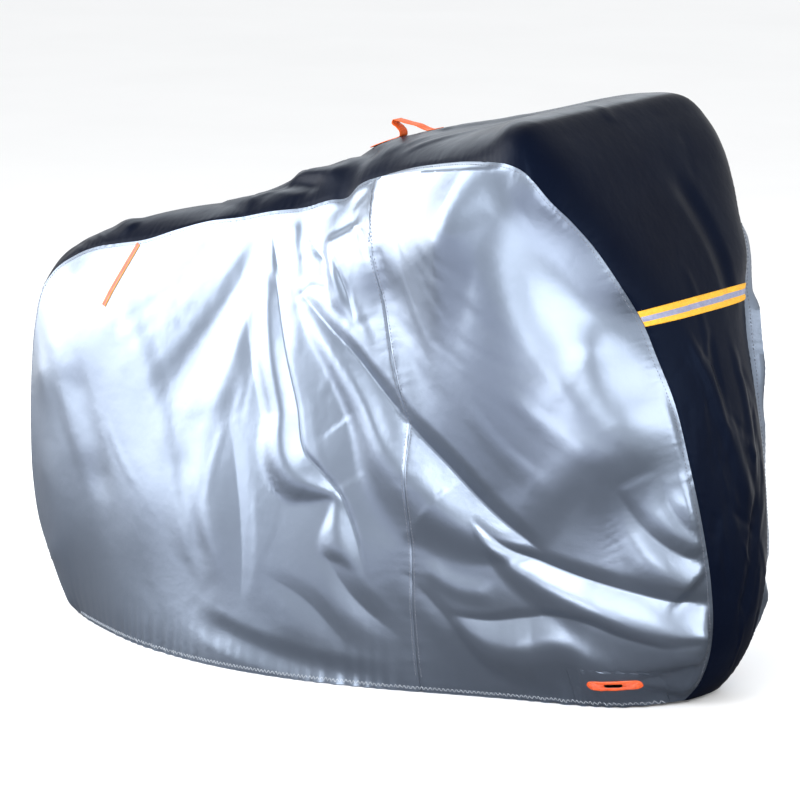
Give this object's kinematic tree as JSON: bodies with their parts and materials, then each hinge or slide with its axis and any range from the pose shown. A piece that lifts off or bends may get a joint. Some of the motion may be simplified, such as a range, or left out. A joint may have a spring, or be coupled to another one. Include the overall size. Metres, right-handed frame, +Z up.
{
  "type": "bicycle cover",
  "caption": "Fitted silver and dark cloth cover, hollow and open below, for a parked bicycle, with reflective tapes, a top loop and lock eyelets.",
  "frame": {"origin": "on the ground, at the middle of the cover's length and width", "axes": "+X towards the bicycle's front wheel, +Y towards its left side, +Z up"},
  "size_m": [1.6527, 0.6831, 1.1204],
  "materials": {
    "silver_cloth": "satin",
    "dark_cloth": "satin",
    "reflective_tape": "matte",
    "orange_webbing": "matte",
    "orange_ring": "satin"
  },
  "bodies": {
    "root": {"centre_band": "dark_cloth", "side_right_rear": "silver_cloth", "side_right_front": "silver_cloth", "side_left_rear": "silver_cloth", "side_left_front": "silver_cloth", "eyelet_patch_right": "silver_cloth", "eyelet_patch_left": "silver_cloth", "eyelet_ring_right": "orange_ring", "eyelet_ring_left": "orange_ring", "front_tape": "reflective_tape", "rear_tape_right": "reflective_tape", "rear_tape_left": "reflective_tape", "top_loop": "orange_webbing"}
  },
  "joints": []
}
